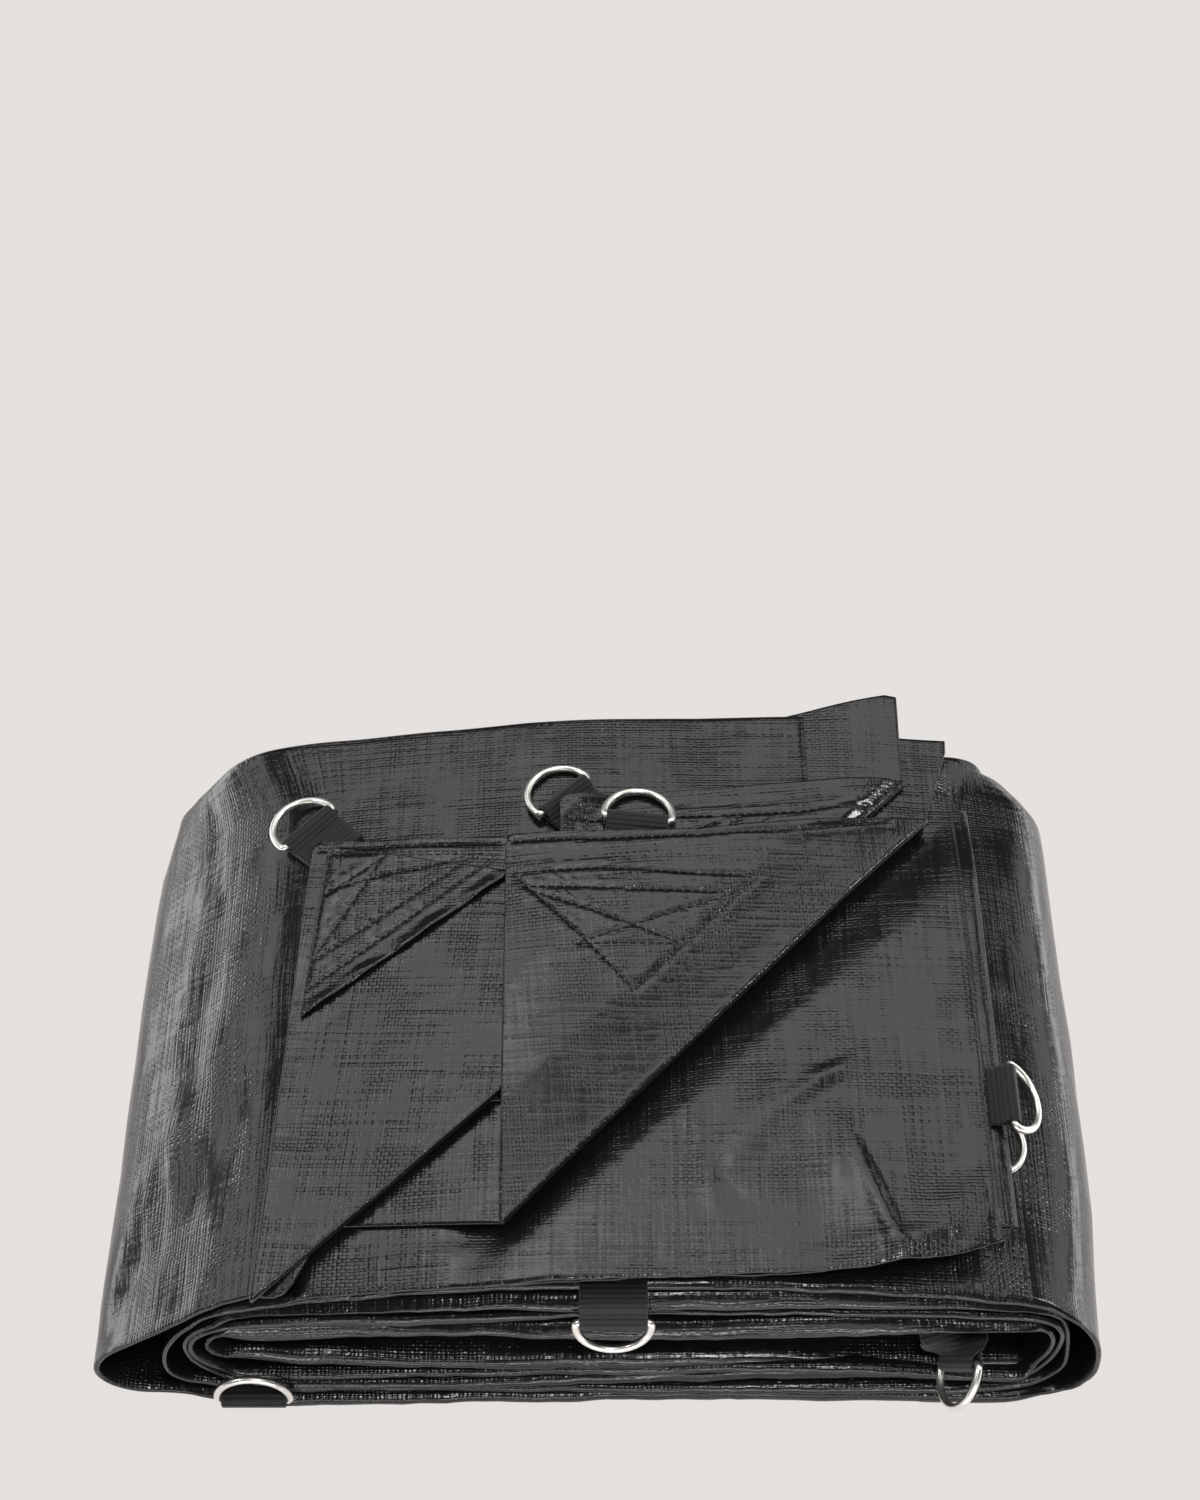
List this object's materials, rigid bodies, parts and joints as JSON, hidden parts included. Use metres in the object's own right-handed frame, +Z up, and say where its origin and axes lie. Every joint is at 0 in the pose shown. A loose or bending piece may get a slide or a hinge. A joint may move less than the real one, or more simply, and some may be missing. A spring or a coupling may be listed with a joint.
{
  "type": "folded tarp",
  "caption": "Heavy woven poly tarp, folded and rolled into a flat rectangular bundle, with webbing tabs and steel D-rings along its hems and a sewn corner patch.",
  "frame": {"origin": "the middle of the flat underside, on the surface that the bundle rests on", "axes": "+Z up, +X to the right along the plies as seen from the open front ends of the roll, +Y to the back"},
  "size_m": [0.3971, 0.2975, 0.1138],
  "materials": {
    "cloth": "glossy coated weave",
    "webbing": "matt ribbed webbing",
    "steel": "bright nickel plate"
  },
  "bodies": {
    "root": {"tarp": "cloth", "corner_patch": "cloth", "tab_1": "webbing", "tab_2": "webbing", "tab_3": "webbing", "tab_4": "webbing", "tab_5": "webbing", "tab_6": "webbing", "tab_7": "webbing", "tab_8": "webbing", "ring_1": "steel", "ring_2": "steel", "ring_3": "steel", "ring_4": "steel", "ring_5": "steel", "ring_6": "steel", "ring_7": "steel", "ring_8": "steel"}
  },
  "joints": []
}
